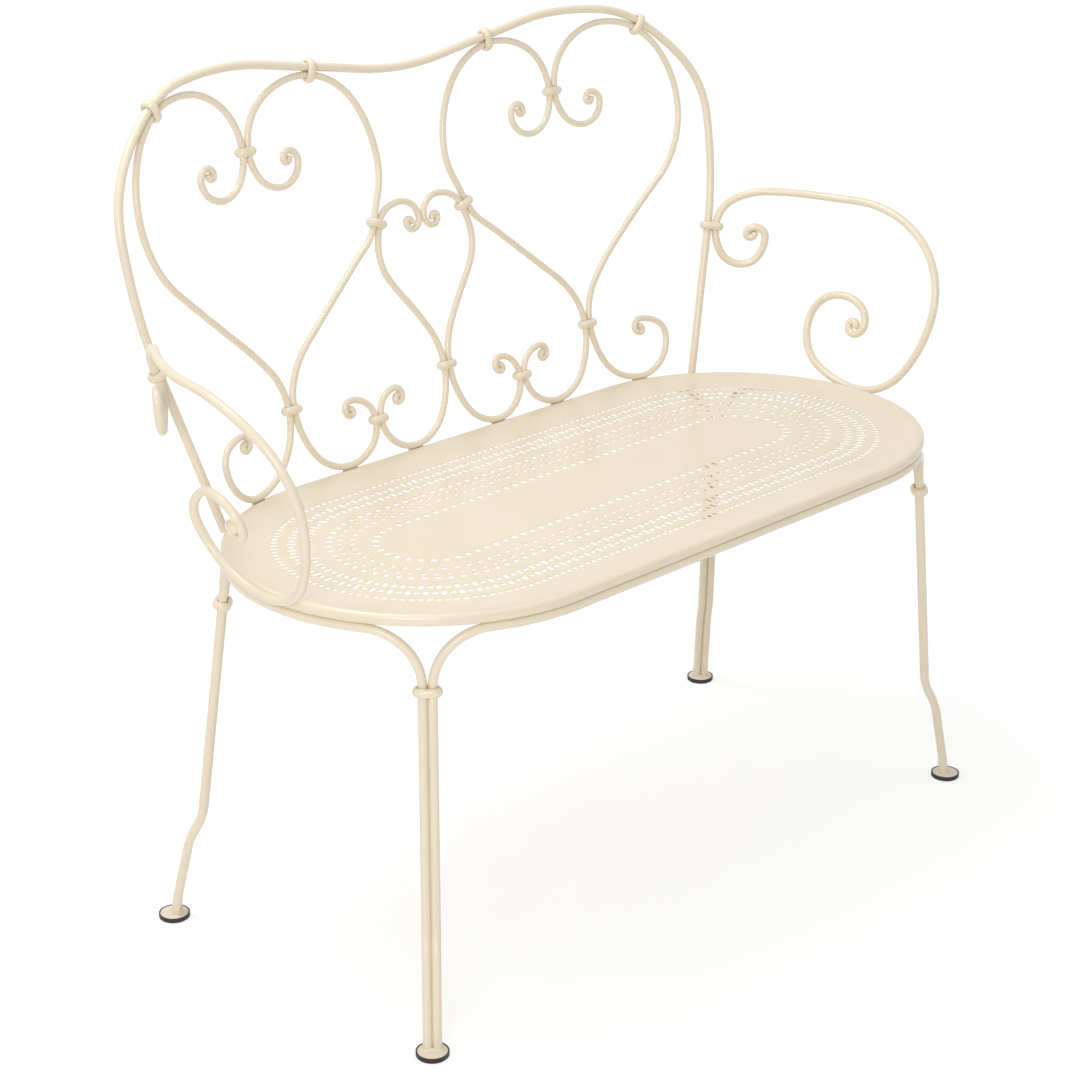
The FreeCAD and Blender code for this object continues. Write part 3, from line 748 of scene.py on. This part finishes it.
legs = leg_pairs()
seams = {name: seam_stations(pair) for name, pair in legs.items()}
print("seams", {name: (len(seam), round(seam[-1][0].z, 3)) for name, seam in seams.items()})

# %% [markdown]
# Between the two rods is a gap of a quarter of a millimetre. On the real leg the coat bridges it, but
# an open gap would show the white floor as a bright line. A thin bar bent along the middle line closes
# it. The four bars are joined into one piece.

# %% Fill the grooves
groove_fill = 0.0008


def joined(pieces):
    """One object made of several, with its place in its mesh."""
    bpy.ops.object.select_all(action="DESELECT")
    for piece in pieces:
        piece.select_set(True)
    bpy.context.view_layer.objects.active = pieces[0]
    bpy.ops.object.join()
    bpy.ops.object.transform_apply(location=True, rotation=True, scale=True)
    return bpy.context.active_object


fills = [bend_rod(seam, groove_fill, (0.0, 0.0)) for seam in seams.values()]
settle(joined(fills), "leg_grooves", cream_coat, "cream_coat")

# %% [markdown]
# At the disc the two rods are welded all round in one pass, which leaves an uneven puddle with a lump
# in front of the groove. A torus of weld is pulled apart into a long ring that fits round both rods, its
# points are shaken, and a subdivision surface melts them together. One puddle serves all four feet.

# %% Shape a weld puddle
weld_width = 0.0019
weld_stand_off = 0.2 * weld_width
ring_segments = 40
weld_segments = 8
pull_steps = 6
pull_band = 0.0032
lump_band = 0.0026
lump_move = 0.0014
lump_growth = 1.3
weld_shake = 0.0007
weld_seed = 4
weld_melt = 0.4
frame_bar = rods["leg_rail_front"][1]
rod_spacing = (legs["front_left"][0][0][0] - legs["front_left"][0][1][0]).length


def smooth_over(piece, levels):
    """Apply a subdivision surface."""
    bpy.context.view_layer.objects.active = piece
    bpy.ops.object.modifier_add(type="SUBSURF")
    rounding = piece.modifiers[-1]
    rounding.levels = levels
    rounding.render_levels = levels
    bpy.ops.object.modifier_apply(modifier=rounding.name)


def make_puddle():
    """A ring of weld round two rods that stand side by side along X."""
    bpy.ops.object.select_all(action="DESELECT")
    bpy.ops.mesh.primitive_torus_add(major_segments=ring_segments, minor_segments=weld_segments,
                                     major_radius=frame_bar + weld_stand_off, minor_radius=weld_width)
    puddle = bpy.context.active_object
    edit(puddle)
    for step in range(pull_steps):
        limit = pull_band * (1.0 - 2.0 * step / (pull_steps - 1))
        pick(puddle, lambda vertex: vertex.co.x > limit)
        bpy.ops.transform.translate(value=(rod_spacing / pull_steps, 0.0, 0.0))
    bpy.ops.mesh.select_all(action="SELECT")
    bpy.ops.transform.translate(value=(-rod_spacing / 2, 0.0, 0.0))
    for side in (-1.0, 1.0):
        pick(puddle, lambda vertex: abs(vertex.co.x) < lump_band and vertex.co.y * side > 0.0)
        bpy.ops.transform.translate(value=(0.0, -side * lump_move, lump_move))
        lump_middle = (0.0, side * frame_bar, lump_move)
        bpy.ops.transform.resize(value=(1.0, lump_growth, lump_growth), center_override=lump_middle)
    bpy.ops.mesh.select_all(action="SELECT")
    bpy.ops.transform.vertex_random(offset=weld_shake, seed=weld_seed)
    bpy.ops.mesh.vertices_smooth(factor=weld_melt, repeat=1)
    bpy.ops.object.mode_set(mode="OBJECT")
    smooth_over(puddle, 1)
    return puddle


puddle = make_puddle()
print("puddle", [round(1000.0 * side, 1) for side in puddle.dimensions], "mm")


# %% Lay the puddles
def copied(piece, place, facing):
    """A copy of a piece, with its own mesh, moved and turned."""
    bpy.ops.object.select_all(action="DESELECT")
    piece.select_set(True)
    bpy.context.view_layer.objects.active = piece
    bpy.ops.object.duplicate()
    copy = bpy.context.active_object
    copy.location = place
    copy.rotation_euler = facing
    return copy


def discard(piece):
    """Delete a pattern piece once its copies are laid."""
    bpy.ops.object.select_all(action="DESELECT")
    piece.select_set(True)
    bpy.ops.object.delete()


puddles = []
for name, pair in legs.items():
    first, second = (station[0] for station in pair[0])
    across = second - first
    middle = (first + second) / 2
    middle.z = disc_tops[name]
    puddles.append(copied(puddle, middle, (0.0, 0.0, math.atan2(across.y, across.x))))
discard(puddle)
settle(joined(puddles), "foot_welds", cream_coat, "cream_coat")

# %% [markdown]
# ## Welds
#
# The scrolls, the arms, the uprights and the ring of rods are welded to the seat's rim on the sides that
# a sitter does not see. A welder moves along a seam in small steps, so a bead is a row of puddles that
# froze one after another. It is drawn out of a small disc, step by step, wide and narrow in turn.
# One bead of each length is made and copied to every seam of its kind.

# %% A weld bead
puddle_length = 0.0022
bead_sides = 10
bead_waist = 0.82
bead_tip = 0.5
bead_shake = 0.00012
bead_seed = 7


def puddle_count(length):
    """Puddles in a bead of some length."""
    return max(2, round(length / puddle_length))


def make_bead(radius, length):
    """A rippled bead along Z, about its own middle."""
    bpy.ops.object.select_all(action="DESELECT")
    bpy.ops.mesh.primitive_circle_add(vertices=bead_sides, radius=radius * bead_tip, fill_type="NGON",
                                      location=(0.0, 0.0, -length / 2))
    bead = bpy.context.active_object
    bpy.ops.object.transform_apply(location=True, rotation=True, scale=True)
    edit(bead)
    bpy.ops.mesh.select_all(action="SELECT")
    steps = 2 * puddle_count(length)
    size = bead_tip
    for step in range(1, steps + 1):
        wanted = 1.0 if step % 2 else bead_waist
        if step == steps:
            wanted = bead_tip
        bpy.ops.mesh.extrude_region_move(TRANSFORM_OT_translate={"value": (0.0, 0.0, length / steps)})
        middle = (0.0, 0.0, length * step / steps - length / 2)
        bpy.ops.transform.resize(value=(wanted / size, wanted / size, 1.0), center_override=middle)
        size = wanted
    bpy.ops.mesh.select_all(action="SELECT")
    bpy.ops.mesh.normals_make_consistent(inside=False)
    bpy.ops.transform.vertex_random(offset=bead_shake, seed=bead_seed)
    bpy.ops.object.mode_set(mode="OBJECT")
    smooth_over(bead, 1)
    return bead


def lay_beads(name, radius, length, places):
    """Copy one bead to places along their directions, as one piece."""
    bead = make_bead(radius, length)
    beads = [copied(bead, place, way.to_track_quat("Z", "Y").to_euler()) for place, way in places]
    discard(bead)
    settle(joined(beads), name, cream_coat, "cream_coat")


print("a bead of 20 mm freezes in", puddle_count(0.020), "puddles")

# %% [markdown]
# A bead lies in the notch between two round sections. Seen along the seam, its middle is as far from
# one section as from the other, sunk half its own radius into both, which is where two circles cross.
# Places on the rim are given as a distance out from the seat's spine and a height. The rim is round
# twice: at its crest, where the sheet turns over, and at its hem, where it turns in.

# %% Where the beads lie
up = Vector((0.0, 0.0, 1.0))
seat_radius = (seat_high.y - seat_low.y) / 2
half_straight = seat_high.x - seat_radius
crest_turn = 0.005
hem_turn = 0.004
crest = Vector((seat_radius - crest_turn, seat_top - crest_turn))
hem = Vector((seat_radius - hem_turn, seat_low.z + hem_turn))


def spine_of(place):
    """The point of the seat's spine that is nearest to a place, the way out from it, and how far."""
    spine = Vector((max(-half_straight, min(half_straight, place.x)), seat_middle_y, 0.0))
    out = Vector((place.x, place.y, 0.0)) - spine
    return spine, out.normalized(), out.length


def notches(first, first_radius, second, second_radius, bead):
    """The two places where a bead touches two round sections."""
    reach = second - first
    near = first_radius + bead / 2
    far = second_radius + bead / 2
    ahead = (near ** 2 - far ** 2 + reach.length_squared) / (2.0 * reach.length)
    aside = math.sqrt(near ** 2 - ahead ** 2)
    way = reach.normalized()
    across = Vector((-way.y, way.x)) * aside
    return [first + way * ahead + across, first + way * ahead - across]


def on_rim(place, section):
    """A section's place put back round the seat, and the direction along the rim there."""
    spine, out, _ = spine_of(place)
    return spine + out * section.x + up * section.y, up.cross(out)


def foot_section(name):
    """The lowest place of a rod and its section: distance out and height."""
    place = min((station[0] for station in rods[name][0]), key=lambda spot: spot.z)
    return place, Vector((spine_of(place)[2], place.z))


print("crest", [round(v, 4) for v in crest], "hem", [round(v, 4) for v in hem])

# %% [markdown]
# A heart stands on the crest, so its bead lies behind it. An arm meets the rim from outside, so its bead
# lies below it, out of sight of whoever sits there.

# %% Beads of the hearts and arms
heart_bead = 0.0018
heart_bead_length = 0.022
arm_bead = 0.0016
arm_bead_length = 0.024

heart_seams = []
for name in heart_names:
    place, section = foot_section(name)
    sides = notches(section, rods[name][1], crest, crest_turn, heart_bead)
    heart_seams.append(on_rim(place, max(sides, key=lambda spot: spot.x)))
lay_beads("heart_welds", heart_bead, heart_bead_length, heart_seams)

arm_seams = []
for name in arm_names:
    place, section = foot_section(name)
    sides = notches(section, frame_bar, hem, hem_turn, arm_bead)
    arm_seams.append(on_rim(place, min(sides, key=lambda spot: spot.y)))
lay_beads("arm_welds", arm_bead, arm_bead_length, arm_seams)

# %% [markdown]
# An upright stands against the outside of the rim and has a short bead on each side of it. The ring of
# rods hangs under the hem on twelve tacks: four along the front, four along the back and two at each
# end. Only the way out from the spine counts for a tack's place, so it can be given a metre away.

# %% Beads of the uprights and the ring
upright_bead = 0.0015
upright_bead_length = 0.008
upright_bead_drop = 0.0065
ring_bead = 0.0017
ring_bead_length = 0.025
ring_inward = 0.0018
ring_rise = 0.006
side_tacks = (-0.19, -0.06, 0.06, 0.19)
end_tacks = (-0.06, 0.06)
end_tack_x = 0.45

upright_seams = []
for place, _ in (rods["back_frame"][0][0], rods["back_frame"][0][-1]):
    spine, out, distance = spine_of(place)
    bead_out = seat_radius + upright_bead / 2
    aside = math.sqrt((frame_bar + upright_bead / 2) ** 2 - (distance - bead_out) ** 2)
    foot = spine + out * bead_out + up * (seat_top - upright_bead_drop)
    upright_seams += [(foot + up.cross(out) * aside * side, up) for side in (-1.0, 1.0)]
lay_beads("upright_welds", upright_bead, upright_bead_length, upright_seams)

ring_top = max((place for place, _ in rods["leg_rail_front"][0]), key=lambda place: place.z)
ring_section = Vector((spine_of(ring_top)[2] - ring_inward, ring_top.z + ring_rise))
tacks = [Vector((x, seat_middle_y + y, 0.0)) for x in side_tacks for y in (-1.0, 1.0)]
tacks += [Vector((x, seat_middle_y + y, 0.0)) for x in (-end_tack_x, end_tack_x) for y in end_tacks]
lay_beads("ring_welds", ring_bead, ring_bead_length, [on_rim(tack, ring_section) for tack in tacks])

# %% [markdown]
# ## Seat
#
# The seat is pressed from one sheet, with some eleven hundred punched holes. Coat draws back from a sharp
# edge while it melts, so on the finished seat every hole has a soft rim. The sheet is taken from the
# frame as a copy. Its loose triangles are merged first, then the sharp edges are found by their angle and
# bevelled by a quarter of a millimetre, and weighted normals keep the broad faces flat between them.

# %% Ease the edges of the seat
coat_ease = 0.00025
merge_reach = 1e-6
seat_smooth = 62.0

bpy.ops.object.select_all(action="DESELECT")
sheet = bpy.data.objects.new("seat_sheet", nodes["seat_panel"].data.copy())
bpy.context.scene.collection.objects.link(sheet)
edit(sheet)
bpy.ops.mesh.select_all(action="SELECT")
bpy.ops.mesh.customdata_custom_splitnormals_clear()
bpy.ops.mesh.remove_doubles(threshold=merge_reach)
bpy.ops.mesh.select_all(action="DESELECT")
bpy.ops.mesh.edges_select_sharp(sharpness=sharp_edge)
bpy.ops.mesh.bevel(offset=coat_ease, segments=1, affect="EDGES", clamp_overlap=True)
bpy.ops.object.mode_set(mode="OBJECT")
settle(sheet, "seat_sheet", cream_coat, "cream_coat", "seat_panel", smooth=seat_smooth)
bpy.ops.object.modifier_add(type="WEIGHTED_NORMAL")
sheet.modifiers[-1].keep_sharp = True
bpy.ops.object.modifier_apply(modifier=sheet.modifiers[-1].name)
print("seat", sum(len(face.vertices) - 2 for face in sheet.data.polygons), "triangles")

# %% [markdown]
# ## Size
#
# The box of what is seen, with the floor left out, is printed.

# %% Visual box
low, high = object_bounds()
print("visual box", [round(v, 4) for v in (*low, *high)])
